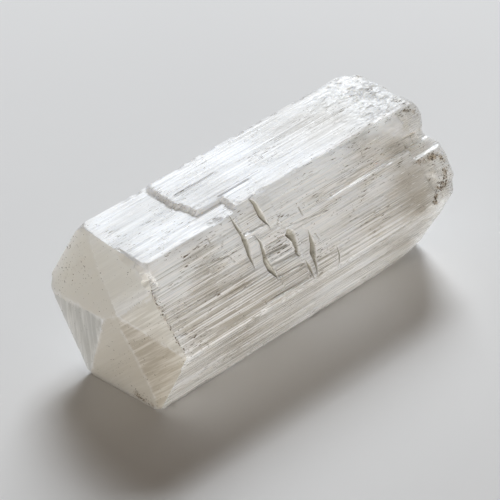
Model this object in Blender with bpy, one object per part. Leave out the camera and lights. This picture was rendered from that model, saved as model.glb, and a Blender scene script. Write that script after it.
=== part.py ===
"""Selenite stick: one clear gypsum crystal, a six-sided prism lying on one of its flat sides.

+X runs along the stick, from its pointed end at -X to its broken, weathered end at +X. The prism
rests on its lowest side at z = 0. The whole crystal is one solid. It is made as a prism, both
ends of which are cut by planes, and the layers and cleavage cracks of the real crystal are then
cut out of its top and its near side.
"""

import math

import bmesh
import bpy
from mathutils import Vector

MM = 0.001  # every size below is in millimetres, and is turned into metres with this

# Driving sizes of the prism.
LENGTH = 76.8
HEIGHT = 34.7
HALF_WIDTH = 19.5
CORNER_BREAK = 0.7

# The section's six corners as (y, z), going round from the far end of the top side.
TOP_FAR = (9.7, HEIGHT)
TOP_NEAR = (-7.7, HEIGHT)
NEAR = (-HALF_WIDTH, 18.2)
FOOT_NEAR = (-9.7, 0.0)
FOOT_FAR = (9.1, 0.0)
FAR = (HALF_WIDTH, 17.4)
SECTION = (TOP_FAR, TOP_NEAR, NEAR, FOOT_NEAR, FOOT_FAR, FAR)

# The pointed end: a short ridge across the tip, and four facets that fall away from it. Each
# facet is a point on the ridge, the direction in (y, z) in which it falls, and its fall in x
# for each millimetre that way.
RIDGE_FAR = (2.7, 16.6)
RIDGE_NEAR = (-1.5, 19.5)
TIP_FACETS = (
    (RIDGE_NEAR, (0.57, 0.82), 0.11),
    (RIDGE_FAR, (-0.57, -0.82), 0.09),
    (RIDGE_NEAR, (-0.90, -0.44), 0.06),
    (RIDGE_FAR, (0.79, -0.61), 0.06),
)

# The broken end is worn round. At each direction in the section, given in degrees from +Y, the
# end is cut back by so much along X and so much inwards.
WORN_EDGES = (
    (90.0, 3.6, 3.2),
    (58.0, 9.0, 3.8),
    (28.0, 4.5, 3.0),
    (-2.0, 4.0, 3.4),
    (-32.0, 4.5, 3.0),
    (-60.0, 5.0, 4.0),
    (-90.0, 6.5, 1.8),
    (-122.0, 7.5, 3.0),
    (-152.0, 4.2, 2.6),
    (-180.0, 3.4, 2.2),
    (145.0, 2.6, 1.8),
    (118.0, 4.8, 3.8),
)
WORN_STEPS = 3

# The top layer starts some way behind the tip, and the crystal is one layer lower before it.
# Its broken edge, as (x from the tip, y), goes across the top and comes back to the near edge.
LAYER = 0.9
LAYER_EDGE = (
    (19.8, HALF_WIDTH),
    (19.6, 10.2),
    (18.5, 8.4),
    (18.2, 2.5),
    (19.0, 0.4),
    (19.2, -3.7),
    (25.0, -3.8),
    (26.0, -3.2),
    (25.4, -7.0),
    (25.4, -HALF_WIDTH),
)

# Cleavage marks on the near upper side, as (x from the tip, distance down from the top edge).
# Each crack is its line, its width and its depth, and each block its outline and its depth.
SIDE_CRACKS = (
    (((23.4, 0.9), (23.8, 3.4), (24.2, 5.8), (24.0, 7.9), (23.4, 12.5)), 0.8, 1.3),
    (((29.3, -0.2), (30.0, 1.6), (30.3, 5.7), (30.9, 7.2)), 0.8, 1.2),
    (((26.8, 6.9), (27.1, 9.5), (26.6, 11.9), (27.2, 16.1)), 0.9, 1.5),
    (((38.4, 11.3), (38.0, 13.7), (36.4, 18.2), (35.7, 19.6)), 0.8, 1.3),
    (((34.8, 15.7), (34.9, 17.4), (34.8, 19.6)), 0.6, 1.0),
)
SIDE_BLOCKS = (
    (((24.9, -1.0), (29.1, -1.0), (30.0, 6.4), (24.7, 6.2)), 0.45),
    (((28.4, 7.8), (33.0, 8.6), (32.5, 11.0), (27.3, 11.0)), 0.6),
    (((33.4, 9.0), (35.2, 10.0), (34.2, 14.2), (33.7, 14.2)), 1.2),
    (((22.2, 18.2), (34.2, 18.9), (34.2, 19.9), (22.2, 19.0)), 0.5),
)

# The near side's upper band sinks towards the broken end, and leaves a long step below it.
# A deeper notch ends the band.
BAND_START = 46.0
BAND_FOOT = 8.2
BAND_SINK = 1.1
NOTCH = ((69.2, 5.6), (LENGTH + 2.0, 6.0), (LENGTH + 2.0, 10.5), (69.4, 10.0))
NOTCH_DEPTH = 1.9

CLEAR = 2.0  # how far a cutter stands out of the crystal, so that it cuts cleanly

COLOR = (0.80, 0.79, 0.76, 1.0)
ROUGHNESS = 0.28
METALLIC = 0.0

NEAR_DOWN = Vector((0.0, NEAR[0] - TOP_NEAR[0], NEAR[1] - TOP_NEAR[1])).normalized()
NEAR_OUT = Vector((0.0, NEAR_DOWN.z, -NEAR_DOWN.y))


def clear_objects():
    """Remove every object that the scene starts with."""
    for obj in list(bpy.data.objects):
        bpy.data.objects.remove(obj, do_unlink=True)


def on_near_side(x, down, out):
    """A point at x from the tip, so far down the near upper side, and so far out from it."""
    edge = Vector((x, TOP_NEAR[0], TOP_NEAR[1]))
    return edge + NEAR_DOWN * down + NEAR_OUT * out


def new_object(name, bm):
    """Make an object of a bmesh whose sizes are in millimetres."""
    bmesh.ops.recalc_face_normals(bm, faces=bm.faces)
    bmesh.ops.scale(bm, vec=(MM, MM, MM), verts=bm.verts)
    mesh = bpy.data.meshes.new(name)
    bm.to_mesh(mesh)
    bm.free()
    obj = bpy.data.objects.new(name, mesh)
    bpy.context.scene.collection.objects.link(obj)
    return obj


def prism(rings):
    """A closed bmesh through rings of points: a side between each two, and a cap at each end."""
    bm = bmesh.new()
    loops = [[bm.verts.new(point) for point in ring] for ring in rings]
    count = len(loops[0])
    for here, there in zip(loops, loops[1:]):
        for i in range(count):
            j = (i + 1) % count
            bm.faces.new((here[i], here[j], there[j], there[i]))
    bm.faces.new(loops[0])
    bm.faces.new(loops[-1])
    return bm


def cut_by_plane(bm, point, normal):
    """Cut off what lies past the plane, and close the cut with a flat face."""
    everything = bm.verts[:] + bm.edges[:] + bm.faces[:]
    cut = bmesh.ops.bisect_plane(
        bm, geom=everything, plane_co=point, plane_no=normal, clear_outer=True
    )
    edges = [item for item in cut["geom_cut"] if isinstance(item, bmesh.types.BMEdge)]
    if edges:
        bmesh.ops.contextual_create(bm, geom=edges)


def cut_tip(bm):
    """Cut the four facets of the pointed end."""
    for (y, z), (fall_y, fall_z), rate in TIP_FACETS:
        normal = Vector((-1.0, rate * fall_y, rate * fall_z))
        cut_by_plane(bm, Vector((0.0, y, z)), normal)


def reach(direction):
    """How far the section reaches in a direction in (y, z), from the origin."""
    return max(y * direction.y + z * direction.z for y, z in SECTION)


def wear_end(bm):
    """Round the broken end with a few planes for each direction around the section."""
    for degrees, back, inwards in WORN_EDGES:
        angle = math.radians(degrees)
        direction = Vector((0.0, math.cos(angle), math.sin(angle)))
        edge = reach(direction)
        for step in range(WORN_STEPS):
            turn = math.radians(90.0) * (step + 0.5) / WORN_STEPS
            x = LENGTH - back * (1.0 - math.sin(turn))
            out = edge - inwards * (1.0 - math.cos(turn))
            normal = Vector((inwards * math.sin(turn), 0.0, 0.0)) + direction * back * math.cos(turn)
            cut_by_plane(bm, Vector((x, 0.0, 0.0)) + direction * out, normal.normalized())


def crystal_body():
    """The prism with its corners broken, its tip cut and its far end worn."""
    ring = [Vector((0.0, y, z)) for y, z in SECTION]
    bm = prism([ring, [point + Vector((LENGTH, 0.0, 0.0)) for point in ring]])
    long_edges = [edge for edge in bm.edges if abs(edge.verts[0].co.x - edge.verts[1].co.x) > 1.0]
    bmesh.ops.bevel(
        bm, geom=long_edges, offset=CORNER_BREAK, offset_type="OFFSET", segments=2,
        profile=0.5, affect="EDGES",
    )
    cut_tip(bm)
    wear_end(bm)
    return bm


def layer_cutter():
    """What is missing of the top layer, in front of its broken edge."""
    outline = [(-CLEAR, HALF_WIDTH), *LAYER_EDGE, (-CLEAR, -HALF_WIDTH)]
    rings = [[(x, y, z) for x, y in outline] for z in (HEIGHT - LAYER, HEIGHT + CLEAR)]
    return new_object("cut_top_layer", prism(rings))


def crack_cutter(index, spine, width, depth):
    """A three-sided sliver that follows a crack and comes to an edge inside the crystal."""
    half = 0.5 * width * (depth + CLEAR) / depth
    rings = [
        (on_near_side(x - half, down, CLEAR), on_near_side(x + half, down, CLEAR),
         on_near_side(x, down, -depth))
        for x, down in spine
    ]
    return new_object(f"cut_crack_{index}", prism(rings))


def block_cutter(index, outline, depth):
    """A shallow slab where a cleavage block has come away."""
    rings = [[on_near_side(x, down, out) for x, down in outline] for out in (-depth, CLEAR)]
    return new_object(f"cut_block_{index}", prism(rings))


def band_cutter():
    """A wedge that sinks the near side's upper band towards the broken end."""
    end = LENGTH + CLEAR
    sink = BAND_SINK * (end - BAND_START) / (LENGTH - BAND_START)
    profile = ((BAND_START, 0.0), (end, -sink), (end, CLEAR), (BAND_START, CLEAR))
    rings = [[on_near_side(x, down, out) for x, out in profile] for down in (-CLEAR, BAND_FOOT)]
    return new_object("cut_band", prism(rings))


def make_cutters():
    """Every cutter, from the largest to the smallest."""
    cutters = [layer_cutter(), band_cutter(), block_cutter("notch", NOTCH, NOTCH_DEPTH)]
    cutters += [block_cutter(i, outline, depth) for i, (outline, depth) in enumerate(SIDE_BLOCKS)]
    cutters += [crack_cutter(i, *crack) for i, crack in enumerate(SIDE_CRACKS)]
    return cutters


def subtract(obj, cutter):
    """Cut the crystal with a cutter, which stays in the scene as a wire guide."""
    cutter.hide_render = True
    cutter.display_type = "WIRE"
    modifier = obj.modifiers.new(cutter.name, "BOOLEAN")
    modifier.operation = "DIFFERENCE"
    modifier.solver = "EXACT"
    modifier.object = cutter


def selenite_material():
    """Pale, silky gypsum."""
    material = bpy.data.materials.new("selenite")
    material.use_nodes = True
    shader = material.node_tree.nodes["Principled BSDF"]
    shader.inputs["Base Color"].default_value = COLOR
    shader.inputs["Roughness"].default_value = ROUGHNESS
    shader.inputs["Metallic"].default_value = METALLIC
    material.diffuse_color = COLOR
    return material


def build():
    """Make the crystal, with the middle of its length at x = 0."""
    clear_objects()
    crystal = new_object("selenite_crystal", crystal_body())
    crystal.data.materials.append(selenite_material())
    for cutter in make_cutters():
        subtract(crystal, cutter)
        cutter.location.x = -0.5 * LENGTH * MM
    crystal.location.x = -0.5 * LENGTH * MM


build()
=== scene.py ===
"""Looks of the selenite stick: one finely striated gypsum crystal on a plain pale floor.

The crystal is one closed mesh. Its six long sides are a grid whose rows run along the stick, so
that striations, layers and cleavage steps follow the rows. The pointed end and the broken end are
triangulated faces that close the grid. Lengths below are in millimetres, in a frame with x = 0 at
the tip, y across and z up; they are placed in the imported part's frame at the end.
"""

import math
from types import SimpleNamespace

import bmesh
import bpy
import numpy as np
from mathutils import Matrix, Vector
from mathutils.geometry import delaunay_2d_cdt
from numpy.linalg import norm


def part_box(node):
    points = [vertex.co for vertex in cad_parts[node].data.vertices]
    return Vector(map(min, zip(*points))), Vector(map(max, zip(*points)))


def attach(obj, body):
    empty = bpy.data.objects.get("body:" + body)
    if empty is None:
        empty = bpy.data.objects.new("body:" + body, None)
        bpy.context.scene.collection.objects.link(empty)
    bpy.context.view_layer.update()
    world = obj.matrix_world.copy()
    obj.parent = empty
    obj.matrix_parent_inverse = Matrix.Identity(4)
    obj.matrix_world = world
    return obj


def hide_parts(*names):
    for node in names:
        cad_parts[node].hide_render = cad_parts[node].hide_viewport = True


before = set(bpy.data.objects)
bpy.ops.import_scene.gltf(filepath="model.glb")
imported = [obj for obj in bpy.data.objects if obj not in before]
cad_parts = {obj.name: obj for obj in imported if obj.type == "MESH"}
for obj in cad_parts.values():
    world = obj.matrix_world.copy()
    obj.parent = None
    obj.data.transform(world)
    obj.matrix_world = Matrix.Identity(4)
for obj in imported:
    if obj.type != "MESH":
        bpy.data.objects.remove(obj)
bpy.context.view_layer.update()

NODE = "selenite_crystal"
MM = 0.001
SEED = 20
LOW, HIGH = (np.array(corner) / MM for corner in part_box(NODE))

# ---- the prism's driving sizes

LENGTH = HIGH[0] - LOW[0]
HEIGHT = HIGH[2]
HALF_WIDTH = 19.5
LAYER = 0.9  # thickness of the top layer, which is missing near the tip

# The section's corners as (y, z, rounding), going round from the far side over the top.
CORNERS = (
    (HALF_WIDTH, 17.4, 1.3),
    (9.7, HEIGHT, 0.8),
    (-7.7, HEIGHT, 0.6),
    (-HALF_WIDTH, 18.2, 0.5),
    (-9.7, 0, 0.6),
    (9.1, 0, 0.7),
)
UPPER_FAR, TOP, NEAR, LOWER_NEAR, BOTTOM, LOWER_FAR = range(6)
ROW_STEP = (0.42, 0.2, 0.17, 0.24, 0.6, 0.45)  # mean distance between rows on each side
MIDDLE = np.array([0, 17.4])

# The tip: a ridge between two points (y, z), and four facets that fall away from it.
RIDGE_FAR = np.array([2.7, 16.6])
RIDGE_NEAR = np.array([-1.5, 19.5])
RIDGE_END = np.array([-11.6, 29])  # where the upper facet's near edge leaves the tip
TIP_FACETS = (
    (RIDGE_NEAR, (0.57, 0.82), 0.11),
    (RIDGE_FAR, (-0.57, -0.82), 0.09),
    (RIDGE_NEAR, (-0.9, -0.44), 0.06),
    (RIDGE_FAR, (0.79, -0.61), 0.06),
)
UP_FACET, LOW_FACET, NEAR_FACET, FAR_FACET = range(4)

# Lines between facets run from the ridge's ends to these places on the tip's outline.
TIP_LINES = (
    (RIDGE_NEAR, RIDGE_END),
    (RIDGE_NEAR, (-19.5, 18.2)),
    (RIDGE_FAR, (18.4, 15.3)),
    (RIDGE_FAR, (9.1, 0)),
)

# A line down the upper facet, as (y, z), is the edge of a painted reflection seen through that facet;
# another down the lower one is an inner plane that shows through.
UPPER_LINE = ((7, 32.5), (4.4, 26.9), (2.5, 24.9), (0.6, 22.7), (-1.2, 19.9))
LOWER_LINE = ((-2, 16.4), (-4.7, 12.2), (-7.7, 6), (-9, 3))

# The tip's corners are worn: y, z, the direction of the wear, and its depth.
TIP_CHIPS = (
    (9.7, 33.8, (-0.5, 0.5, 0.7), 0.4),
    (8.2, 33.8, (-0.8, 0.1, 0.6), 0.2),
    (-7.7, 33.8, (-0.7, -0.4, 0.6), 0.95),
    (-5.6, 33.8, (-0.7, 0, 0.7), 0.45),
    (-3, 33.8, (-0.8, 0.1, 0.6), 0.25),
    (-9.4, 31.6, (-0.8, -0.6, 0.2), 0.5),
    (-19.5, 18.2, (-0.4, -1, 0.1), 0.4),
    (-18.8, 16.6, (-0.2, -0.9, -0.5), 0.3),
    (-9.7, 0, (-0.4, -0.5, -0.8), 0.45),
    (19.5, 17.4, (-0.3, 1, 0.1), 0.5),
    (9.1, 0, (-0.4, 0.5, -0.8), 0.25),
)

# Where dirt gathers on the tip: from, to, width, strength.
DIRTY_EDGES = (
    ((-7.7, HEIGHT), (-19.5, 18.2), 0.9, 1),
    ((-9.7, 0), (-4, 1.2), 2.2, 0.9),
    ((19.5, 17.4), (11, 32), 1.4, 0.55),
    ((15, 20), (8.5, 27), 5, 0.35),
    ((3, 0), (-1, 9), 2.5, 0.3),
)

# How the broken end is worn: direction in degrees from +Y, cut back along x, cut inwards.
WORN_EDGES = (
    (90, 3.6, 3.2),
    (58, 9, 3.8),
    (28, 4.5, 3),
    (-2, 4, 3.4),
    (-32, 4.5, 3),
    (-60, 5, 4),
    (-90, 6.5, 1.8),
    (-122, 7.5, 3),
    (-152, 4.2, 2.6),
    (-180, 3.4, 2.2),
    (145, 2.6, 1.8),
    (118, 4.8, 3.8),
)

# Long, slight wear that starts further forward on the near side and below it.
LONG_WEAR = (
    (-128, 20, 3.6),
    (-112, 16, 2.6),
    (-150, 10, 2.4),
    (-168, 8, 3.4),
    (177, 5, 4),
    (160, 6, 2.6),
)

# Along the near side the broken end reaches less far at the notch, and further below it: the
# distances down, and how much further the end reaches there.
REACH_DOWN = (3, 6, 8, 9.5, 13, 18, 21)
REACH_MORE = (0, -1.3, -1.2, 0.5, 0.8, 0.5, 0)

# ---- noise and shape helpers

NOISE_TABLE = np.random.default_rng(SEED).random(8192)


def lattice(cells, seed):
    """A fixed random number from 0 to 1 for each whole-numbered cell."""
    key = np.full(cells.shape[0], seed * 7919 + 17, dtype=np.int64)
    for column in cells.T:
        key = (key * 31 + column) * 668265263 % 2147483647
    return NOISE_TABLE[(key >> 7) % NOISE_TABLE.size]


def noise(*coordinates, seed=0):
    """Smooth noise from 0 to 1, with one cell for each unit of the coordinates given."""
    arrays = np.broadcast_arrays(*coordinates)
    points = np.stack([a.ravel() for a in arrays], axis=1)
    cells = np.floor(points).astype(np.int64)
    part = points - cells
    part = part * part * (3 - 2 * part)
    total = np.zeros(len(points))
    for corner in range(1 << points.shape[1]):
        offset = np.array([(corner >> axis) & 1 for axis in range(points.shape[1])])
        weight = np.prod(np.where(offset, part, 1 - part), axis=1)
        total += weight * lattice(cells + offset, seed)
    return total.reshape(arrays[0].shape)


def layered_noise(*coordinates, seed=0, octaves=4):
    """Several octaves of noise, from -1 to 1."""
    total, weight, size = 0, 1, 0
    for octave in range(octaves):
        scaled = [c * 2.03 ** octave for c in coordinates]
        total = total + weight * (noise(*scaled, seed=seed + octave) * 2 - 1)
        size += weight
        weight *= 0.5
    return total / size


def ramp(value, start, end):
    """0 at start and before, 1 at end and after, straight between."""
    return np.clip((value - start) / (end - start), 0, 1)


def between(value, low, high, soft):
    """1 from low to high, and 0 outside, with edges of width soft."""
    return ramp(value, low - soft / 2, low + soft / 2) * ramp(high - value, -soft / 2, soft / 2)


def over(points, *sizes):
    """The coordinates of points, each divided by its size, for noise with cells of those sizes."""
    return [points[..., axis] / size for axis, size in enumerate(sizes)]


def unit(vector):
    """The vector at a length of 1."""
    return np.asarray(vector) / norm(vector)


# ---- rows round the section


def section_rows():
    """Every row round the prism: its (y, z), its outward normal, its side and its place on it."""
    rng = np.random.default_rng(SEED + 1)
    points, normals, sides, downs = [], [], [], []
    count = len(CORNERS)
    corner = [np.array(c[:2]) for c in CORNERS]
    for side in range(count):
        start, end = corner[side], corner[(side + 1) % count]
        round_start, round_end = CORNERS[side][2], CORNERS[(side + 1) % count][2]
        along = unit(end - start)
        out = np.array([along[1], -along[0]])
        length = norm(end - start)
        number = int(round((length - round_start - round_end) / ROW_STEP[side]))
        inner = np.linspace(round_start, length - round_end, number + 1)
        inner[1:-1] += rng.uniform(-0.3, 0.3, number - 1) * ROW_STEP[side]
        for down in inner:
            points.append(start + along * down)
            normals.append(out)
            sides.append(side)
            downs.append(down)
        after = corner[(side + 2) % count]
        next_along = unit(after - end)
        next_out = np.array([next_along[1], -next_along[0]])
        for turn in (0.2, 0.4, 0.6, 0.8):
            a, b = end - along * round_end, end + next_along * round_end
            points.append((1 - turn) ** 2 * a + 2 * turn * (1 - turn) * end + turn ** 2 * b)
            normals.append(unit((1 - turn) * out + turn * next_out))
            before = turn < 0.5
            sides.append(side if before else (side + 1) % count)
            downs.append(length - round_end * (1 - 2 * turn) if before else round_end * (2 * turn - 1))
    return np.array(points), np.array(normals), np.array(sides), np.array(downs)


ROW_POINT, ROW_OUT, ROW_SIDE, ROW_DOWN = section_rows()
ROWS = len(ROW_POINT)


END_REACH = np.where(ROW_SIDE == NEAR, np.interp(ROW_DOWN, REACH_DOWN, REACH_MORE), 0)


def facet_depths(y, z):
    """How far behind the ridge each of the tip's planes is at (y, z)."""
    return [
        rate * ((y - point[0]) * fall[0] + (z - point[1]) * fall[1])
        for point, fall, rate in TIP_FACETS
    ]


def tip_x(y, z):
    """How far the tip's surface lies behind the ridge."""
    return np.maximum(np.max(facet_depths(y, z), axis=0), 0)


# ---- columns along the stick

# Lines that columns follow down the near side, as (distance down, x). Five columns lie on each:
# its front lip, its bottom, two on its long back wall, and its back lip.
CRACK_FRONT = ((0.7, 23.4), (3.4, 23.8), (5.8, 24.2), (7.9, 24), (9.4, 23.6), (12.5, 23.4))
CRACK_INNER = ((6.6, 26.7), (8.5, 27.2), (10.6, 26.9), (11.9, 26.5), (14, 26.8), (16.2, 27.2))
CRACK_BLOCK = ((-0.5, 29.2), (1.6, 30), (3.7, 30.1), (5.7, 30.3), (7.2, 30.9))
CRACK_WEDGE = ((8.9, 34.2), (11.6, 34.4), (13.2, 34.1), (14.6, 33.8))
CRACK_LOW = ((15.5, 34.7), (17.4, 34.9), (19.9, 34.8))
CRACK_BACK = ((11, 38.4), (13.7, 38), (15.6, 37.1), (18.2, 36.4), (19.7, 35.7))
CRACK_BRANCH = ((16.5, 42.9), (18.5, 42.5), (19.8, 41.6), (21, 40.2))

CRACK_PLACES = (-1, -0.55, 0, 0.5, 1)  # those columns, in half widths from the middle

# Each crack: line, width at its widest, depth, and where along it the widest place is.
CRACKS = (
    (CRACK_FRONT, 1.45, 1.2, 0.6),
    (CRACK_INNER, 1.95, 1.3, 0.75),
    (CRACK_BLOCK, 1.3, 0.9, 0.6),
    (CRACK_WEDGE, 2.2, 1.3, 0.15),
    (CRACK_LOW, 0.85, 0.9, 0.5),
    (CRACK_BACK, 1.55, 1.2, 0.45),
    (CRACK_BRANCH, 0.45, 0.5, 0.45),
)

# Bands on the near side where thin layers have come away or stand proud, as
# (x from, x to, down from, down to, how far they stand out).
BANDS = (
    (24.6, 29.8, -1, 5.6, -0.4),
    (24.2, 26.2, 6.6, 12, 0.18),
    (27.6, 33.2, 6.9, 7.9, -0.3),
    (27.8, 33.3, 8, 9.4, -0.05),
    (27.4, 33.2, 9.6, 11, -0.25),
    (27.2, 33.4, 11.1, 11.7, -0.5),
    (27.2, 33.6, 11.7, 13.2, -0.4),
    (27.4, 34, 13.2, 14.1, -0.5),
    (27.6, 34.4, 14.1, 16.1, -0.35),
    (27.7, 34.4, 16.1, 18.5, -0.2),
    (22.4, 34, 18.6, 19.3, -0.25),
    (35.2, 36, 16, 20, 0.15),
    (35.3, 37.8, 9, 15.5, -0.15),
    (33.4, 52, -1, 8.6, -0.1),
    (14, 23.6, 6.6, 13.6, 0.06),
    (12, 26.3, 13.6, 14.6, -0.06),
)

# Fine lines on the near side, as (x, down, x, down, width, tone, depth): tone 1 is white and -1 dark,
# and a negative depth stands out. Along the edges of steps and blocks the white is painted highlight
# and the dark painted shade; elsewhere they are the crystal's own lines.
LINES = (
    (24.8, 5.65, 29.5, 5.85, 0.4, -0.9, 0.3),
    (24.3, 6.1, 30.2, 6.35, 0.42, 1, -0.1),
    (24.8, 5.1, 28.7, 5, 0.3, 0.7, 0),
    (28, 9.15, 33, 9.25, 0.45, 1, -0.08),
    (28, 8.3, 33, 8.4, 0.3, 0.6, 0),
    (27.9, 9.55, 32.8, 9.7, 0.28, -0.8, 0.2),
    (27, 11.15, 32.7, 11.55, 0.55, -0.9, 0.2),
    (27.2, 11.85, 33, 12.1, 0.3, 0.8, 0),
    (27.5, 13.4, 34.1, 14, 0.7, -0.6, 0.1),
    (27.6, 15.9, 34.3, 16.25, 0.32, -0.8, 0.2),
    (27.8, 16.65, 34.3, 16.8, 0.22, -0.5, 0.1),
    (27, 18.55, 33.6, 18.7, 0.3, 0.6, -0.05),
    (24, 18.75, 33.7, 19.3, 0.45, -0.5, 0.15),
    (28.1, 19.9, 35, 20.1, 0.35, 0.9, -0.08),
    (35.5, 16.2, 35.1, 20, 0.55, 0.9, -0.05),
    (15.5, 14.45, 26, 14.4, 0.4, -0.35, 0.1),
    (16, 13.6, 26.2, 13.8, 0.25, -0.4, 0.05),
    (7, 16.3, 17, 16.8, 0.26, 0.9, 0),
    (9, 17.6, 21.5, 18.2, 0.3, 1, -0.04),
    (13, 15.6, 25, 15.7, 0.24, 0.8, 0),
    (17, 19.1, 27, 19.5, 0.26, 0.9, 0),
    (2, 10.4, 12, 10.9, 0.28, 0.9, 0),
    (5, 12.2, 17, 12.6, 0.24, 0.8, 0),
    (11.2, 6.3, 19.3, 7.5, 0.22, -0.9, 0.08),
    (33.3, 8.4, 44.2, 9.7, 0.25, -0.6, 0.12),
    (34, 8.9, 44.2, 10, 0.3, 0.8, -0.05),
    (38.7, 11, 46, 11.1, 0.3, 0.7, 0),
    (39.1, 15.4, 50, 15.4, 0.35, 0.8, 0),
    (37.4, 17.1, 48.2, 18.4, 0.3, -0.5, 0.08),
    (33.1, 6.5, 32.8, 7.3, 0.28, -1, 0.15),
    (38.8, 6.6, 38.7, 8.2, 0.3, -1, 0.15),
    (48.7, 13.2, 48.5, 14, 0.3, -0.8, 0.15),
    (39.6, 12.6, 39.8, 13.6, 0.28, -0.8, 0.15),
    (47, 7.7, 47.2, 8.7, 0.3, -0.8, 0.15),
    (42.8, 19, 44.7, 19.2, 0.3, -0.7, 0.1),
    (16.8, 2.6, 16.9, 3.8, 0.3, -0.8, 0.1),
    (19.5, 4.8, 18.8, 5.6, 0.3, -0.7, 0.1),
    (19.3, 7.5, 20, 9.2, 0.28, -0.7, 0.1),
    (36.8, 19.7, 35.3, 20.2, 0.35, -0.8, 0.15),
    (4.3, 13.4, 20.4, 15.2, 0.3, 0.8, 0),
    (29, 0, 30.9, 6.8, 0.25, 0.9, 0),
    (46.2, 8.3, 68.4, 8.4, 0.5, 0.9, -0.1),
    (69.2, 5.7, 74.3, 6.1, 0.25, -0.8, 0.1),
    (69.2, 5.7, 69.9, 8.4, 0.25, -0.8, 0.1),
    (74.3, 6.1, 74.4, 8.5, 0.25, -0.6, 0.1),
)

# Growth lines along the stick: height, length and width of each kind, and the number of thin
# lamellae on each side.
STRIATIONS = ((0.04, 70, 3.1), (0.022, 60, 1.1), (0.025, 40, 0.42), (0.02, 25, 0.2))
LAMELLAE = 90

# Soft patches by side, mostly painted sheen and painted shade, partly milkier and duller parts of the
# crystal: x, down, reach along x, reach down, whiter (+) or duller (-).
PATCHES = {
    "near": (
        (5, 6, 7, 4.5, 1.1),
        (30, 4, 26, 7, 0.45),
        (42, 2, 9, 3.5, 0.8),
        (40, 12.5, 10, 5, 0.6),
        (34, 5, 9, 4, 0.4),
        (21.5, 5, 5, 4.5, 0.8),
        (57, 20, 4.5, 2.5, 0.8),
        (16, 13, 8, 5, -0.75),
        (22, 14, 5, 2, -0.3),
        (66.5, 14, 6, 5.5, -0.9),
        (58.5, 4, 4, 2.6, -0.7),
        (66.5, 6, 3, 1.8, -0.6),
        (67, 1.5, 5, 3, 1),
        (14, 19, 18, 5, -0.7),
        (44, 20, 14, 3.5, -0.4),
        (63, 19, 9, 3.5, -0.6),
        (26, 9, 3, 4, 0.6),
        (12, 9.5, 4, 2.5, -0.3),
    ),
    "top": (
        (56, 10, 11, 10, -0.8),
        (10, 9, 11, 11, 0.5),
        (36, 8, 9, 9, 0.1),
    ),
    "low": (
        (18, 8, 8, 12, -1),
        (66, 5, 9, 9, -1),
        (50, 14, 12, 6, 0.5),
        (12, 14, 6, 6, 0.3),
    ),
}

# Where brown dirt lies in the broken end's hollows on the near side, as (x, down).
DIRT_LINE = (
    (69.6, 10.8), (71.6, 11.2), (73.6, 11.4), (75.2, 13.6), (74.6, 15.6), (72.5, 17.4),
    (70.7, 18.1), (68.8, 19.7),
)
DIRT_WIDTH = 1.8


def base_columns():
    """x of the columns where nothing bends them, closer together where there is more detail."""
    spacing = (
        (0.6, 16, 0.55),
        (16, 46, 0.3),
        (46, 66, 0.48),
        (66, LENGTH - 0.8, 0.3),
    )
    columns = [0, 0.12, 0.3]
    for start, end, step in spacing:
        number = max(1, int(round((end - start) / step)))
        columns += list(np.linspace(start, end, number, endpoint=False))
    columns += [LENGTH - rest for rest in (0.8, 0.5, 0.28, 0.12, 0.03)]
    return np.array(columns)


COLUMN_X = base_columns()
COLUMNS = len(COLUMN_X)


def line_at(line, down):
    """x of a line on the near side, given as (down, x), at a distance down."""
    return np.interp(down, [p[0] for p in line], [p[1] for p in line])


def width_along(down, line, width, widest):
    """A crack's width at a distance down the side: a point at each end."""
    place = (down - line[0][0]) / (line[-1][0] - line[0][0])
    swell = np.where(place < widest, place / widest, (1 - place) / (1 - widest))
    uneven = 0.85 + 0.3 * noise(np.asarray(down) / 1.3, np.asarray(down) * 0 + width * 9, seed=6)
    return width * np.clip(swell, 0, 1) ** 0.8 * uneven


def bent_columns():
    """x of every column on every row, bent on the near side so that cracks have columns."""
    grid = np.repeat(COLUMN_X[:, None], ROWS, axis=1)
    for row in range(ROWS):
        if ROW_SIDE[row] != NEAR:
            continue
        down = ROW_DOWN[row]
        anchors = {}
        for line, width, _, widest in CRACKS:
            centre = int(np.argmin(np.abs(COLUMN_X - np.mean([p[1] for p in line]))))
            half = max(0.5 * width_along(down, line, width, widest), 0.12)
            fade = ramp(max(line[0][0] - down, down - line[-1][0]), 0, 1.6)
            for offset, place in zip((-2, -1, 0, 1, 2), CRACK_PLACES):
                bent = line_at(line, down) + place * half
                straight = COLUMN_X[centre + offset]
                if fade < 1:
                    anchors[centre + offset] = bent * (1 - fade) + straight * fade
        if not anchors:
            continue
        anchors[0] = COLUMN_X[0]
        anchors[COLUMNS - 1] = COLUMN_X[-1]
        lowest = min(k for k in anchors if k > 0)
        highest = max(k for k in anchors if k < COLUMNS - 1)
        anchors[max(1, lowest - 8)] = COLUMN_X[max(1, lowest - 8)]
        anchors[highest + 8] = COLUMN_X[highest + 8]
        known = sorted(anchors)
        values = np.maximum.accumulate([anchors[k] for k in known])
        reach = np.interp(np.arange(COLUMNS), known, values)
        inside = (np.arange(COLUMNS) > known[1]) & (np.arange(COLUMNS) < known[-2])
        grid[inside, row] = reach[inside]
    return grid


# ---- relief of the sides


def striations(x, down, side):
    """Growth lines along the stick: long bands of noise and thin raised lamellae."""
    seed = 100 + side * 17
    height = np.zeros_like(x)
    for index, (swing, long, wide) in enumerate(STRIATIONS):
        height = height + swing * (noise(x / long, down / wide, seed=seed + index) - 0.5)
    rng = np.random.default_rng(seed)
    for _ in range(LAMELLAE):
        start = rng.uniform(-12, LENGTH)
        length = rng.gamma(2, 8)
        low = rng.uniform(-1, 21)
        width = rng.gamma(1.6, 0.26) + 0.12
        step = rng.choice((-1, 1)) * rng.uniform(0.02, 0.085)
        height = height + step * between(x, start, start + length, 0.4) * between(
            down, low, low + width, 0.05
        )
    return height


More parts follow.
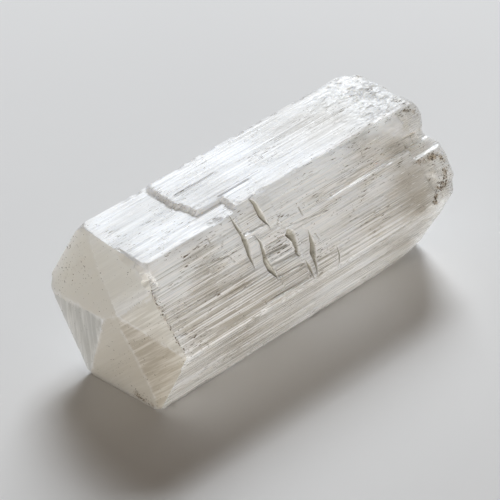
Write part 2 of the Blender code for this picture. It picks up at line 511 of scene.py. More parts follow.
def crack_amounts(x, down):
    """For every crack, how deep inside it a point of the near side is, from 0 to 1."""
    amounts = []
    for line, width, depth, widest in CRACKS:
        half = np.maximum(0.5 * width_along(down, line, width, widest), 1e-4)
        place = (x - line_at(line, down)) / half
        bottom = CRACK_PLACES[1]
        wall = np.where(place < bottom, (place + 1) / (bottom + 1), (1 - place) / (1 - bottom))
        open_here = (down > line[0][0]) & (down < line[-1][0])
        amounts.append(np.where(open_here, np.clip(wall, 0, 1), 0))
    return amounts


def along_line(x, down, start, end, width):
    """1 in the middle of a straight line over the near side, and 0 half its width away."""
    dx, dd = end[0] - start[0], end[1] - start[1]
    place = np.clip(((x - start[0]) * dx + (down - start[1]) * dd) / (dx * dx + dd * dd), 0, 1)
    away = np.hypot(x - start[0] - place * dx, down - start[1] - place * dd)
    return np.clip(1.35 - away / (0.5 * width), 0, 1)


def sheen_and_shade_patches(x, down, side):
    """How much whiter or duller a place on a side is than the rest, from -1 to 1: mostly painted sheen
    and painted shade, partly the crystal's own milkiness.
    """
    total = 0
    wobble = 0.5 * layered_noise(x / 6, down / 1.2, seed=140)
    for x_mid, down_mid, reach_x, reach_down, strength in PATCHES[side]:
        away = np.hypot((x - x_mid) / reach_x, (down - down_mid) / reach_down)
        total = total + strength * ramp(1.25 + wobble - away, 0, 1)
    return np.clip(total, -1, 1)


def crack_lip_highlight(x, down, line, width, widest):
    """1 on the lips on both sides of a crack, which are painted white as a highlight."""
    half = 0.5 * width_along(down, line, width, widest)
    open_here = between(down, line[0][0], line[-1][0], 0.6)
    return open_here * np.clip(1 - (np.abs(x - line_at(line, down)) - half) / 0.35, 0, 1)


def four_sided(x, down, top, bottom, left, right, soft=0.14):
    """1 inside a block whose left and right edges are given at its top and at its bottom."""
    place = ramp(down, top, bottom)
    low = left[0] + (left[1] - left[0]) * place
    high = right[0] + (right[1] - right[0]) * place
    return between(down, top, bottom, soft) * ramp(x - low, -soft, soft) * ramp(high - x, -soft, soft)


def near_layers(x, down):
    """Relief of the near upper side's striations, bands and ridge, and of its broken end."""
    height = striations(x, down, NEAR)
    worked = four_sided(x, down, -1, 19, (23.6, 23.2), (31, 36.5), soft=0.6)
    height = height * (1 - 0.6 * worked) * (1 - 0.8 * ramp(x, 58, 67))
    lumps = layered_noise(x / 3.4, down / 2.4, seed=8)
    height = height + 0.22 * lumps * ramp(x, 60, 68)
    for x_from, x_to, down_from, down_to, rise in BANDS:
        inside = between(down, down_from, down_to, 0.1) * between(x, x_from, x_to, 0.3)
        height = height + rise * inside

    # The upper band sinks towards the broken end, and a bright ridge stands below it.
    band_foot = 8.2 + 0.25 * (noise(x / 3, seed=5) - 0.5)
    sink = 1.15 * ramp(x, 44, 74)
    rough = layered_noise(x / 2.6, down / 1.3, seed=7)
    height = height - (sink + 0.16 * rough * ramp(x, 52, 64)) * ramp(band_foot - down, -0.1, 0.5)
    ridge = between(down, 8.1, 9.3, 0.5) * ramp(x, 42, 56) * ramp(69 - x, 0, 0.6)
    height = height + 0.28 * ridge
    notch = ramp(x, 68.9, 69.3) * ramp(down, 5.4, 5.7) * ramp(10.5 - down, 0, 1.7)
    height = height - 0.85 * notch
    shelf_end = ramp(x, 68.6, 69.2) * between(down, 8.2, 10.2, 0.3)
    return height - 0.55 * shelf_end


def near_relief(x, down):
    """Relief of the near upper side with its cracks and lines, and the masks that go with it."""
    height = near_layers(x, down)
    cracked = np.zeros_like(height)
    for (_, _, depth, _), amount in zip(CRACKS, crack_amounts(x, down)):
        height = height - depth * amount
        cracked = np.maximum(cracked, amount)
    # White along crack lips and the light lines is painted highlight, partly the crystal's own white
    # lines; the dark lines are partly painted shade.
    rim = 0
    for line, width, _, widest in CRACKS:
        rim = np.maximum(rim, 0.8 * crack_lip_highlight(x, down, line, width, widest))
    mark = 0
    uncracked = cracked < 0.05
    for x_from, down_from, x_to, down_to, width, tone, depth in LINES:
        amount = along_line(x, down, (x_from, down_from), (x_to, down_to), width) * uncracked
        height = height - depth * amount
        rim = np.maximum(rim, amount * max(tone, 0))
        mark = np.maximum(mark, amount * max(-tone, 0))
    dirt = 0
    for a, b in zip(DIRT_LINE, DIRT_LINE[1:]):
        dirt = np.maximum(dirt, along_line(x, down, a, b, DIRT_WIDTH))
    # The cracks' darker colour, half the brown film and the dark line along their bottom are painted
    # shade in the recess, partly the cracks' own olive grey.
    masks = {
        "crack": np.minimum(3 * cracked, 1),
        "rim": rim * uncracked,
        "mark": np.maximum(mark, ramp(cracked, 0.55, 0.9)),
        "dirt": np.maximum(dirt, 0.5 * cracked),
        "light": sheen_and_shade_patches(x, down, "near"),
    }
    return height, masks


def layer_edge(y):
    """x of the top layer's front edge at each y, on the top."""
    ys = (-40, -7, -6.6, -3.85, -3.75, 0.2, 0.6, 2.5, 8.4, 10.2, 40)
    xs = (25.4, 25.4, 25.5, 25.9, 19.3, 18.9, 18.2, 18.1, 18.5, 19.6, 19.9)
    ragged = 0.3 * (noise(y / 0.7, seed=40) - 0.5) + 0.22 * (noise(y / 0.3, seed=41) - 0.5)
    return np.interp(y, ys, xs) + ragged


def top_relief(x, down):
    """Relief of the top, before its front layer is taken away."""
    y = CORNERS[TOP][0] - down
    height = striations(x, down, TOP)
    groove = between(y, 2.9, 3.4, 0.2) * between(x, 20, 31, 1)
    height = height - 0.16 * groove
    inner = np.clip(1 - np.abs(y + 3.2) / 0.22, 0, 1) * between(x, 25.6, 34, 1)
    height = height - 0.2 * inner
    edge = layer_edge(y)
    lip = np.clip(1 - np.abs(x - edge - 0.55) / 0.6, 0, 1)
    height = height - 0.1 * lip * noise(x / 0.4, y / 0.5, seed=43)
    weathered = ramp(x, 56, 70)
    height = height + 0.3 * weathered * layered_noise(x / 2.8, y / 1.8, seed=44)
    pits = ramp(layered_noise(x / 1.1, y / 0.9, seed=46), 0.15, 0.35)
    height = height - 0.22 * weathered * pits
    return height


def lower_near_relief(x, down):
    """Relief of the near side's lower half, with the nick in its edge and its scars."""
    height = striations(x, down, LOWER_NEAR) * (1 - 0.7 * ramp(x, 60, 68))
    nick = between(x, 24.5, 25.6, 0.6) * ramp(down, 18.6, 20.2)
    height = height - 0.9 * nick
    scar = np.clip(layered_noise(x / 3, down / 1.2, seed=61) - 0.1, 0, 1)
    return height - 0.15 * scar * ramp(x, 18, 26) * ramp(44 - x, 0, 10)


def side_relief(x):
    """Relief of every grid point, and the masks that the material reads."""
    height = np.zeros_like(x)
    masks = {name: np.zeros_like(x) for name in ("crack", "rim", "mark", "dirt", "light")}
    for side in range(len(CORNERS)):
        rows = ROW_SIDE == side
        part, down = x[:, rows], np.broadcast_to(ROW_DOWN[rows], x[:, rows].shape)
        if side == NEAR:
            height[:, rows], near_masks = near_relief(part, down)
            for name, values in near_masks.items():
                masks[name][:, rows] = values
        elif side == TOP:
            height[:, rows] = top_relief(part, down)
            masks["light"][:, rows] = sheen_and_shade_patches(part, down, "top")
            # The layer's lip is white, partly its own crumbly white and partly a painted highlight;
            # the band in front of it is a painted shadow of the step.
            behind = part - layer_edge(CORNERS[TOP][0] - down)
            masks["rim"][:, rows] = between(behind, -0.3, 0.8, 0.3)
            masks["mark"][:, rows] = 0.45 * between(behind, -0.8, -0.35, 0.3)
        elif side == LOWER_NEAR:
            height[:, rows] = lower_near_relief(part, down)
            masks["light"][:, rows] = sheen_and_shade_patches(part, down, "low")
        else:
            height[:, rows] = striations(part, down, side)
    return height, masks


# ---- the body as a grid of points


def worn_scale(x, y, z):
    """How much of its distance from the middle a point keeps, where the broken end is worn."""
    offset_y, offset_z = y - MIDDLE[0], z - MIDDLE[1]
    keep = np.ones_like(x)
    for degrees, back, inwards in WORN_EDGES + LONG_WEAR:
        direction = np.array([math.cos(math.radians(degrees)), math.sin(math.radians(degrees))])
        edge = max(direction @ np.array(c[:2]) for c in CORNERS)
        place = np.clip((x - (LENGTH - back)) / back, 0, 1)
        limit = edge - inwards * (1 - np.sqrt(1 - place * place)) - direction @ MIDDLE
        outwards = offset_y * direction[0] + offset_z * direction[1]
        keep = np.minimum(keep, np.where(outwards > limit, limit / np.maximum(outwards, 1e-6), 1))
    return keep


def chip(points, centre, normal, depth, reach):
    """Press the points that stand past a plane back onto it, out to a reach: a flat chip."""
    normal = unit(normal)
    past = (points - centre) @ normal + depth
    near = ramp(reach - norm(points - centre, axis=-1), 0, 0.3 * reach)
    points -= (np.clip(past, 0, 1.6 * depth) * near)[..., None] * normal


def edge_chips(points):
    """Small flat chips along the prism's long edges and round the tip."""
    rng = np.random.default_rng(SEED + 5)
    for corner in range(len(CORNERS)):
        row = int(np.argmin(norm(ROW_POINT - np.array(CORNERS[corner][:2]), axis=1)))
        for _ in range(22):
            column = int(rng.integers(4, COLUMNS - 30))
            tilt = rng.uniform(-0.3, 0.3)
            out = np.array([tilt, *ROW_OUT[row]])
            depth = rng.uniform(0.03, 0.16)
            chip(points, points[column, row].copy(), out, depth, 0.6 + 4 * depth)
    for _ in range(26):
        row = int(rng.integers(0, ROWS))
        out = np.array([-1, *(ROW_OUT[row] * rng.uniform(0.5, 1.4))])
        depth = rng.uniform(0.02, 0.1)
        chip(points, points[0, row].copy(), out, depth, 0.5 + 3 * depth)


def tip_chips(points):
    """The worn corners of the pointed end."""
    for y, z, direction, depth in TIP_CHIPS:
        row = int(np.argmin(norm(points[0, :, 1:] - np.array([y, z]), axis=1)))
        chip(points, points[0, row].copy(), np.array(direction), depth, 2.2 + 2.5 * depth)


def end_chips(points):
    """Larger chips where the broken end has knocked against things."""
    rng = np.random.default_rng(SEED + 9)
    for _ in range(46):
        column = int(rng.integers(COLUMNS - 26, COLUMNS - 1))
        row = int(rng.integers(0, ROWS))
        lean = rng.uniform(0.3, 2)
        out = np.array([lean, *ROW_OUT[row]]) + rng.normal(0, 0.25, 3)
        depth = rng.uniform(0.05, 0.32)
        chip(points, points[column, row].copy(), out, depth, 0.8 + 5 * depth)


def body_points():
    """The grid of the six sides, and the masks that the material reads."""
    x = bent_columns()
    y0, z0 = ROW_POINT[:, 0], ROW_POINT[:, 1]
    start = tip_x(y0, z0)
    x = np.where(x < 6, start + x * (6 - start) / 6, x)
    height, masks = side_relief(x)
    height *= ramp(x - start, -0.2, 1.2) * 0.85 + 0.15
    y = y0 + ROW_OUT[:, 0] * height
    z = z0 + ROW_OUT[:, 1] * height

    # In front of the layer's edge the crystal ends one layer lower.
    floor = HEIGHT - LAYER + 0.75 * top_relief(x, CORNERS[TOP][0] - y)
    front = ramp(layer_edge(y) - x, -0.4, 0.4)
    z = np.where(z > floor, z * (1 - front) + floor * front, z)

    keep = worn_scale(x, y, z)
    y = MIDDLE[0] + (y - MIDDLE[0]) * keep
    z = MIDDLE[1] + (z - MIDDLE[1]) * keep
    points = np.stack([x, y, z], axis=-1)

    edge_chips(points)
    tip_chips(points)
    end_chips(points)
    worn = ramp(x, LENGTH - 11, LENGTH - 2)
    rough = layered_noise(*over(points, 1.9, 1.6, 1.6), seed=80)
    push = (0.22 * rough - 0.11) * worn
    points[..., 1] += ROW_OUT[:, 0] * push
    points[..., 2] += ROW_OUT[:, 1] * push
    points[..., 2] = np.maximum(points[..., 2], 0)
    points[..., 0] += END_REACH * ramp(x, LENGTH - 9, LENGTH) ** 2
    return points, masks


# ---- the two ends


def fill_outline(outline, inner, lines=()):
    """Triangles over an outline of (y, z) points that also use inner points and lines."""
    coords = [Vector(p) for p in outline] + [Vector(p) for p in inner]
    count = len(outline)
    edges = [(i, (i + 1) % count) for i in range(count)]
    edges += [tuple(line) for line in lines]
    found = delaunay_2d_cdt(coords, edges, [list(range(count))], 1, 1e-5)
    verts, _, faces, origins = found[:4]
    return verts, faces, [origin[0] if origin else -1 for origin in origins]


def inside_points(outline, spacing, margin, seed):
    """Points in a jittered square pattern inside an outline, a margin away from it."""
    rng = np.random.default_rng(seed)
    low, high = outline.min(axis=0), outline.max(axis=0)
    ys, zs = np.meshgrid(np.arange(low[0], high[0], spacing), np.arange(low[1], high[1], spacing))
    points = np.stack([ys.ravel(), zs.ravel()], axis=1)
    points += rng.uniform(-0.25, 0.25, points.shape) * spacing
    middle = outline.mean(axis=0)
    spokes = outline - middle
    shrunk = middle + spokes * (1 - margin / norm(spokes, axis=1))[:, None]
    following = np.roll(shrunk, -1, axis=0)
    crossings = np.zeros(len(points), dtype=int)
    for a, b in zip(shrunk, following):
        if a[1] == b[1]:
            continue
        spans = (a[1] > points[:, 1]) != (b[1] > points[:, 1])
        at = (b[0] - a[0]) * (points[:, 1] - a[1]) / (b[1] - a[1]) + a[0]
        crossings += spans & (points[:, 0] < at)
    return points[crossings % 2 == 1]


def broken_depth(y, z):
    """How far the broken face lies behind the end, as steps of torn fibres."""
    ragged = 0.6 * noise(y / 0.9, z / 1.4, seed=91)
    terraces = np.floor(4.5 * noise(y / 5, z / 7, seed=90) + ragged)
    depth = 0.65 * terraces + 0.9 * noise(y / 2.8, z / 3.6, seed=92)
    depth += 0.7 * np.abs(layered_noise(y / 1.5, z / 1.9, seed=93))
    return depth


def distance_to_line(y, z, a, b):
    """Distance of the point (y, z) from the line from a to b."""
    along = np.subtract(b, a)
    offset = np.subtract((y, z), a)
    place = np.clip(offset @ along / (along @ along), 0, 1)
    return float(norm(offset - place * along))


def make_tip(ring):
    """Inner points of the pointed end: the ridge lines, and points between them."""
    outline = ring[:, 1:]
    inner, lines = [], []
    base = len(outline)
    ridge = [RIDGE_FAR + (RIDGE_NEAR - RIDGE_FAR) * t for t in np.linspace(0, 1, 8)]
    inner += ridge
    lines += [(base + i, base + i + 1) for i in range(len(ridge) - 1)]
    for start, target in TIP_LINES:
        nearest = int(np.argmin(norm(outline - np.array(target), axis=1)))
        end = outline[nearest]
        number = int(norm(end - start) / 0.5)
        previous = base if start is RIDGE_FAR else base + len(ridge) - 1
        for t in np.linspace(0, 1, number + 1)[1:-1]:
            inner.append(start + (end - start) * t)
            lines.append((previous, base + len(inner) - 1))
            previous = base + len(inner) - 1
        lines.append((previous, nearest))
    ridge_points = np.array(inner)
    filler = inside_points(outline, 0.6, 0.45, SEED + 30)
    gaps = norm(filler[:, None, :] - ridge_points[None, :, :], axis=2).min(axis=1)
    inner += list(filler[gaps > 0.35])
    return np.array(inner), lines, len(ridge_points)


def past_line(y, z, line):
    """Whether (y, z) is on the far side of a line that runs down the tip."""
    upwards = line[::-1]
    return y > np.interp(z, [p[1] for p in upwards], [p[0] for p in upwards])


def tip_looks(y, z):
    """Of a place on the tip: its painted light and reflection, 0 dark and warm to 1 light, how much
    fibres show, 1 if it is far.
    """
    # Each facet's tone stands for how it catches the light and what shows through it: painted light
    # and painted reflection.
    facet = int(np.argmax(facet_depths(y, z)))
    if facet == UP_FACET:
        if past_line(y, z, UPPER_LINE):
            return 0.6, 0.05, 0
        above = distance_to_line(y, z, RIDGE_NEAR, RIDGE_END)
        near_ridge = min(max(1 - above / 3.6, 0), 1)
        return 0.7 + 0.3 * near_ridge, 0.2 + 0.8 * near_ridge, 0
    if facet == LOW_FACET:
        return (0.34, 0.15, 0) if past_line(y, z, LOWER_LINE) else (0.1, 0.8, 0)
    return (0.5, 0.8, 0) if facet == NEAR_FACET else (0.24, 0.6, 1)


def inner_line(y, z):
    """1 on the lines down the pointed end: an inner plane on the lower facet, and a painted
    reflection's edge on the upper one.
    """
    amount = 0
    for line, strength in ((UPPER_LINE, 0.35), (LOWER_LINE, 0.6)):
        for a, b in zip(line, line[1:]):
            distance = distance_to_line(y, z, a, b)
            amount = max(amount, strength * (1 - min(distance / 0.45, 1)))
    return amount


def tip_dirt(y, z):
    """1 where dirt has gathered on the pointed end."""
    amount = 0
    for a, b, width, strength in DIRTY_EDGES:
        distance = distance_to_line(y, z, a, b)
        amount = max(amount, strength * (1 - min(distance / width, 1)))
    return amount


def body_masks(points, masks):
    """The masks of the grid's points, with the dirt and wear of both ends added."""
    x = points[..., 0]
    front_dirt = ramp(1.6 - x, 0, 1.2) * (ROW_SIDE == NEAR)[None, :]
    patches = layered_noise(*over(points, 2.2, 2.2, 2.2), seed=120)
    end_dirt = 0.8 * ramp(x, LENGTH - 7.5, LENGTH - 3) * ramp(patches, -0.1, 0.4)
    masks["dirt"] = np.maximum.reduce([masks["dirt"], front_dirt, end_dirt])
    wander = 5 * layered_noise(points[..., 1] / 6, points[..., 2] / 6, seed=122)
    on_top = (ROW_SIDE == TOP)[None, :]
    masks["worn"] = np.where(on_top, ramp(x + wander, 61, 67), ramp(x + wander, 69, 74))
    away = norm(points - np.array([0.3, -7.7, 33.8]), axis=-1)
    crumbs = noise(*over(points, 0.6, 0.5, 0.5), seed=98)
    masks["rim"] = np.maximum(masks["rim"], ramp(3.2 - away, 0, 1.8) * ramp(crumbs, 0.2, 0.6))
    return {name: list(values.ravel()) for name, values in masks.items()}


def add_masks(masks, **values):
    """Add one point's masks; those not given are 0."""
    for name, column in masks.items():
        column.append(values.get(name, 0))


def close_ring(vertices, first, ring, inner, lines, inner_x):
    """Fill a ring whose points start at the index given: add its inner points, give its faces."""
    places, triangles, origins = fill_outline(ring[:, 1:], inner, lines)
    names = {}
    for index, origin in enumerate(origins):
        if 0 <= origin < ROWS:
            names[index] = first + origin
            continue
        y, z = places[index]
        names[index] = len(vertices)
        vertices.append(np.array([inner_x(y, z, origin), y, z]))
    return [tuple(names[v] for v in triangle) for triangle in triangles]


def close_tip(vertices, masks, ring):
    """Add the pointed end's inner points and masks, and give its faces."""
    inner, lines, ridge_count = make_tip(ring)

    def inner_x(y, z, origin):
        x = float(tip_x(y, z))
        lip = 0
        # The ridge's points are set back a little, and their white lip is a painted highlight.
        if ROWS <= origin < ROWS + ridge_count:
            lip = float(noise(y / 0.8, z / 0.8, seed=96))
            x += 0.02 + 0.12 * lip ** 3
        frosted = ramp(3 - math.hypot(y + 7.7, z - 33.5), 0, 1.6)
        frosted *= float(noise(y / 0.5, z / 0.5, seed=97))
        lip = max(lip, inner_line(y, z), frosted)
        add_masks(masks, rim=lip, dirt=tip_dirt(y, z))
        return x

    return close_ring(vertices, 0, ring, inner, lines, inner_x)


def close_broken_end(vertices, masks, ring):
    """Add the broken end's inner points and masks, and give its faces."""
    inner = inside_points(ring[:, 1:], 0.5, 0.45, SEED + 31)

    def inner_x(y, z, _):
        margins = norm(ring[:, 1:] - np.array([y, z]), axis=1)
        inwards = ramp(margins.min(), 0, 2.2)
        rim_x = ring[int(np.argmin(margins)), 0]
        dirt = 0.6 * float(noise(y / 3, z / 3, seed=121))
        add_masks(masks, worn=1, dirt=dirt)
        return rim_x + (LENGTH - float(broken_depth(y, z)) - rim_x) * inwards

    return close_ring(vertices, (COLUMNS - 1) * ROWS, ring, inner, (), inner_x)


def crystal_mesh():
    """All points and faces of the crystal, and the masks of its points and faces."""
    points, masks = body_points()
    masks = body_masks(points, masks)
    vertices = list(points.reshape(-1, 3))
    faces = []
    for column in range(COLUMNS - 1):
        here, there = column * ROWS, (column + 1) * ROWS
        for row in range(ROWS):
            after = (row + 1) % ROWS
            faces.append((here + row, here + after, there + after, there + row))

    tip_faces = close_tip(vertices, masks, points[0])
    middles = [np.mean([vertices[v] for v in face], axis=0) for face in tip_faces]
    looks = [(1, *tip_looks(y, z)) for _, y, z in middles]
    end_faces = close_broken_end(vertices, masks, points[-1])
    plain = (0, 0, 0, 0)
    looks = [plain] * len(faces) + looks + [plain] * len(end_faces)
    face_masks = dict(zip(("tip", "shade", "fibres", "far"), zip(*looks)))
    return np.array(vertices), faces + tip_faces + end_faces, masks, face_masks


def mark_ridges(mesh):
    """Make the pointed end's ridges and outline sharp."""
    tips = np.zeros(len(mesh.polygons), dtype=np.float32)
    shades = np.zeros(len(mesh.polygons), dtype=np.float32)
    mesh.attributes["tip"].data.foreach_get("value", tips)
    mesh.attributes["shade"].data.foreach_get("value", shades)
    owners = {}
    for polygon in mesh.polygons:
        for key in polygon.edge_keys:
            owners.setdefault(key, []).append(polygon.index)
    for edge in mesh.edges:
        beside = owners[tuple(sorted(edge.vertices))]
        if len(beside) == 2 and (tips[beside].sum() == 1 or shades[beside[0]] != shades[beside[1]]):
            edge.use_edge_sharp = True


def make_crystal():
    """The crystal as a Blender object in the part's frame."""
    vertices, faces, masks, face_masks = crystal_mesh()
    vertices = (vertices + np.array([LOW[0], 0, 0])) * MM
    mesh = bpy.data.meshes.new("selenite_crystal_fine")
    mesh.from_pydata([tuple(v) for v in vertices], [], faces)
    bm = bmesh.new()
    bm.from_mesh(mesh)
    bmesh.ops.recalc_face_normals(bm, faces=bm.faces)
    bm.to_mesh(mesh)
    bm.free()
    for domain, group in (("POINT", masks), ("FACE", face_masks)):
        for name, values in group.items():
            layer = mesh.attributes.new(name, "FLOAT", domain)
            layer.data.foreach_set("value", np.array(values, dtype=np.float32))
    mesh.shade_smooth()
    mesh.set_sharp_from_angle(angle=math.radians(28))
    mark_ridges(mesh)
    piece = bpy.data.objects.new("selenite_crystal_fine", mesh)
    bpy.context.scene.collection.objects.link(piece)
    return piece


# ---- materials

SIDE_WHITE = (0.87, 0.855, 0.82)
TOP_SHADED_WHITE = (0.8, 0.81, 0.82)
DULL_STREAK = (0.72, 0.685, 0.63)
COOL_VEIL = (0.86, 0.9, 0.96)
CLOUD = (0.64, 0.635, 0.59)
SHEEN_AND_MILKY_PATCH = (0.92, 0.96, 1)
SHADE_AND_DULL_PATCH = (0.51, 0.47, 0.405)
WHITE_AND_HIGHLIGHT = (1, 1, 1)
DARK_LINE = (0.46, 0.44, 0.39)
SHADED_FACET = (0.62, 0.56, 0.46)
LIT_FACET = (0.98, 0.985, 0.95)
FAR_FACET_REFLECTION = (0.62, 0.64, 0.64)
FIBRE = (1, 1, 0.98)
CRUMB = (0.93, 0.935, 0.93)
CRUMB_CREVICE_SHADE = (0.45, 0.44, 0.41)
DIRT = (0.4, 0.31, 0.21)
CRACK_WALL_SHADE = (0.38, 0.36, 0.29)
DARK_MARK_AND_SHADE = (0.25, 0.225, 0.175)
SPECK = (0.13, 0.1, 0.065)

VEIL_ANGLE = -136.7  # how the veils inside the tip are turned round X, in degrees
CRUMBS = 0.75  # crumbs of the broken end for each millimetre
BUMP_STRENGTH = 0.45
BUMP_HEIGHT = 0.15


class Nodes:
    """Short names for the few node types that the materials use."""

    def __init__(self, material):
        self.tree = material.node_tree
        self.shader = self.tree.nodes["Principled BSDF"]
        self.where = self.add("ShaderNodeTexCoord").outputs["Object"]

    def add(self, kind, **settings):
        """A new node with its settings."""
        node = self.tree.nodes.new(kind)
        for key, value in settings.items():
            setattr(node, key, value)
        return node

    def feed(self, socket, value):
        """Link an output to a socket, or set the socket to a number or an opaque colour."""
        if isinstance(value, bpy.types.NodeSocket):
            self.tree.links.new(value, socket)
        else:
            socket.default_value = (*value, 1) if isinstance(value, tuple) else value

    def math(self, operation, a, b, clamp=False):
        """One step of arithmetic."""
        node = self.add("ShaderNodeMath", operation=operation, use_clamp=clamp)
        self.feed(node.inputs[0], a)
        self.feed(node.inputs[1], b)
        return node.outputs[0]

    def times(self, a, b):
        """a multiplied by b."""
        return self.math("MULTIPLY", a, b)

    def plus(self, a, b):
        """a and b added."""
        return self.math("ADD", a, b)

    def most(self, a, b):
        """The larger of a and b."""
        return self.math("MAXIMUM", a, b)

    def span(self, value, low, high, new_low=0, new_high=1):
        """The value moved from the range low to high onto a new range, and kept inside it."""
        node = self.add("ShaderNodeMapRange")
        self.feed(node.inputs["Value"], value)
        ends = {"From Min": low, "From Max": high, "To Min": new_low, "To Max": new_high}
        for name, number in ends.items():
            self.feed(node.inputs[name], number)
        return node.outputs[0]

    def mix(self, factor, a, b):
        """Colour a where the factor is 0, and b where it is 1."""
        node = self.add("ShaderNodeMix", data_type="RGBA")
        self.feed(node.inputs["Factor"], factor)
        self.feed(node.inputs["A"], a)
        self.feed(node.inputs["B"], b)
        return node.outputs["Result"]

    def cells(self, feature):
        """The pattern of the broken end's crumbs."""
        node = self.add("ShaderNodeTexVoronoi", feature=feature)
        node.inputs["Scale"].default_value = CRUMBS / MM
        self.feed(node.inputs["Vector"], self.where)
        return node.outputs["Distance"]

    def noise(self, scale, detail=4, roughness=0.55, vector=None):
        """Noise with its scale in cells per millimetre, separately along x, y and z."""
        mapping = self.add("ShaderNodeMapping")
        mapping.inputs["Scale"].default_value = [s / MM for s in scale]
        self.feed(mapping.inputs["Vector"], vector or self.where)
        node = self.add("ShaderNodeTexNoise")
        node.inputs["Scale"].default_value = 1
        node.inputs["Detail"].default_value = detail
        node.inputs["Roughness"].default_value = roughness
        self.feed(node.inputs["Vector"], mapping.outputs["Vector"])
        return node.outputs["Fac"]


def read_masks(nodes):
    """The mesh's masks, by name."""
    masks = SimpleNamespace()
    for name in ("tip", "shade", "fibres", "far", "crack", "rim", "mark", "light", "worn", "dirt"):
        setattr(masks, name, nodes.add("ShaderNodeAttribute", attribute_name=name).outputs["Fac"])
    return masks


def tip_veils(nodes, masks):
    """Veils inside the pointed end, which run along one direction across its facets."""
    turned = nodes.add("ShaderNodeVectorRotate", rotation_type="X_AXIS")
    turned.inputs["Angle"].default_value = math.radians(VEIL_ANGLE)
    nodes.feed(turned.inputs["Vector"], nodes.where)
    near = nodes.noise((0.2, 0.07, 1.7), roughness=0.6, vector=turned.outputs["Vector"])
    far = nodes.noise((0.2, 1.5, 0.12), roughness=0.6)
    near = nodes.times(near, nodes.math("SUBTRACT", 1, masks.far))
    veils = nodes.plus(near, nodes.times(far, masks.far))
    return nodes.times(nodes.span(veils, 0.44, 0.66), masks.fibres)


def make_patterns(nodes, masks):
    """The noises that the crystal's looks are made of, and where they show."""
    made = SimpleNamespace()
    made.side = nodes.math("SUBTRACT", 1, masks.tip)
    place = nodes.add("ShaderNodeSeparateXYZ")
    nodes.feed(place.inputs[0], nodes.where)
    made.top = nodes.span(place.outputs["Z"], 31.8 * MM, 33 * MM)
    made.veil = nodes.noise((0.07, 0.16, 0.16), detail=2)
    made.streak = nodes.noise((0.02, 1.9, 1.9), roughness=0.65)
    made.fine = nodes.noise((0.06, 6, 6), detail=2)
    made.threads = nodes.noise((0.025, 4.4, 4.4), detail=1, roughness=0.5)
    made.dashes = nodes.noise((0.55, 5, 5), detail=1)
    made.clusters = nodes.noise((0.12, 0.25, 0.25), detail=2)
    made.grain = nodes.noise((2.6, 2.6, 2.6), detail=1)
    made.seen = tip_veils(nodes, masks)

    # The lines along the stick are faint on the top, and fade out towards the broken end.
    along = nodes.plus(place.outputs["X"], nodes.times(made.veil, 16 * MM))
    faint = nodes.span(made.top, 0, 1, 1, 0.35)
    made.lined = nodes.times(faint, nodes.span(along, 24 * MM, 34 * MM, 1, 0.12))
    # Glints are white specks on the sides: a painted highlight; the threads are the crystal's own
    # white lines.
    glints = nodes.times(nodes.span(made.dashes, 0.33, 0.29), made.side)
    threads = nodes.times(nodes.span(made.threads, 0.56, 0.6), made.lined)
    made.white_lines = nodes.most(threads, glints)

    # Whiter patches are mostly painted sheen and duller ones mostly painted shade, partly the
    # crystal's own milkiness.
    made.bright = nodes.span(masks.light, 0, 1, 0, 0.85)
    made.shaded = nodes.span(masks.light, 0, -1, 0, 0.8)
    in_clusters = nodes.span(made.clusters, 0.46, 0.58)
    dashed = nodes.times(nodes.span(made.dashes, 0.64, 0.69), in_clusters)
    soiled = nodes.plus(made.grain, nodes.times(masks.dirt, 0.2))
    soiled = nodes.plus(soiled, nodes.span(made.clusters, 0.35, 0.65, -0.03, 0.03))
    made.specks = nodes.most(nodes.span(soiled, 0.73, 0.78), nodes.times(dashed, made.side))
    return made


def clearness(nodes, masks, made):
    """How clear the crystal is at each point; the rest is milky."""
    lines = nodes.times(nodes.span(made.threads, 0.36, 0.62, -0.17, 0.18), made.lined)
    milky = nodes.plus(nodes.span(made.veil, 0.38, 0.64, 0.27, 0.52), lines)
    milky = nodes.times(milky, made.side)
    veiled = nodes.plus(0.42, nodes.times(made.seen, 0.2))
    milky = nodes.plus(milky, nodes.times(veiled, masks.tip))
    milky = nodes.plus(milky, nodes.times(masks.crack, 0.6))
    milky = nodes.plus(milky, nodes.span(masks.light, 0, 1, 0, 0.25))
    return nodes.math("SUBTRACT", 0.56, milky, clamp=True)


def side_color(nodes, made):
    """Colour of the long sides: pale, with veils, clouds and lines, a top in painted shade, patches of
    painted sheen and painted shade, and painted glints.
    """
    dull = nodes.times(nodes.span(made.streak, 0.56, 0.42, 0, 0.55), made.lined)
    # The top is a duller white than the sides: painted shade that tempers the window's sheen on it.
    pale = nodes.mix(dull, nodes.mix(made.top, SIDE_WHITE, TOP_SHADED_WHITE), DULL_STREAK)
    pale = nodes.mix(nodes.times(nodes.span(made.veil, 0.5, 0.6), 0.5), pale, COOL_VEIL)
    unlined = nodes.span(made.lined, 0.35, 0.12)
    clouded = nodes.times(nodes.span(made.clusters, 0.5, 0.62, 0, 0.55), unlined)
    pale = nodes.mix(clouded, pale, CLOUD)
    pale = nodes.mix(made.bright, pale, SHEEN_AND_MILKY_PATCH)
    pale = nodes.mix(made.shaded, pale, SHADE_AND_DULL_PATCH)
    pale = nodes.mix(made.white_lines, pale, WHITE_AND_HIGHLIGHT)
    dark_lines = nodes.times(nodes.span(made.threads, 0.41, 0.37, 0, 0.35), made.lined)
    return nodes.mix(dark_lines, pale, DARK_LINE)


def tip_color(nodes, masks, made):
    """Colour of the pointed end: each facet a tone of painted light and painted reflection, the far
    one a painted blue-grey reflection, with its fibres.
    """
    color = nodes.mix(masks.shade, SHADED_FACET, LIT_FACET)
    color = nodes.mix(nodes.times(masks.far, 0.7), color, FAR_FACET_REFLECTION)
    return nodes.mix(nodes.times(made.seen, 0.5), color, FIBRE)


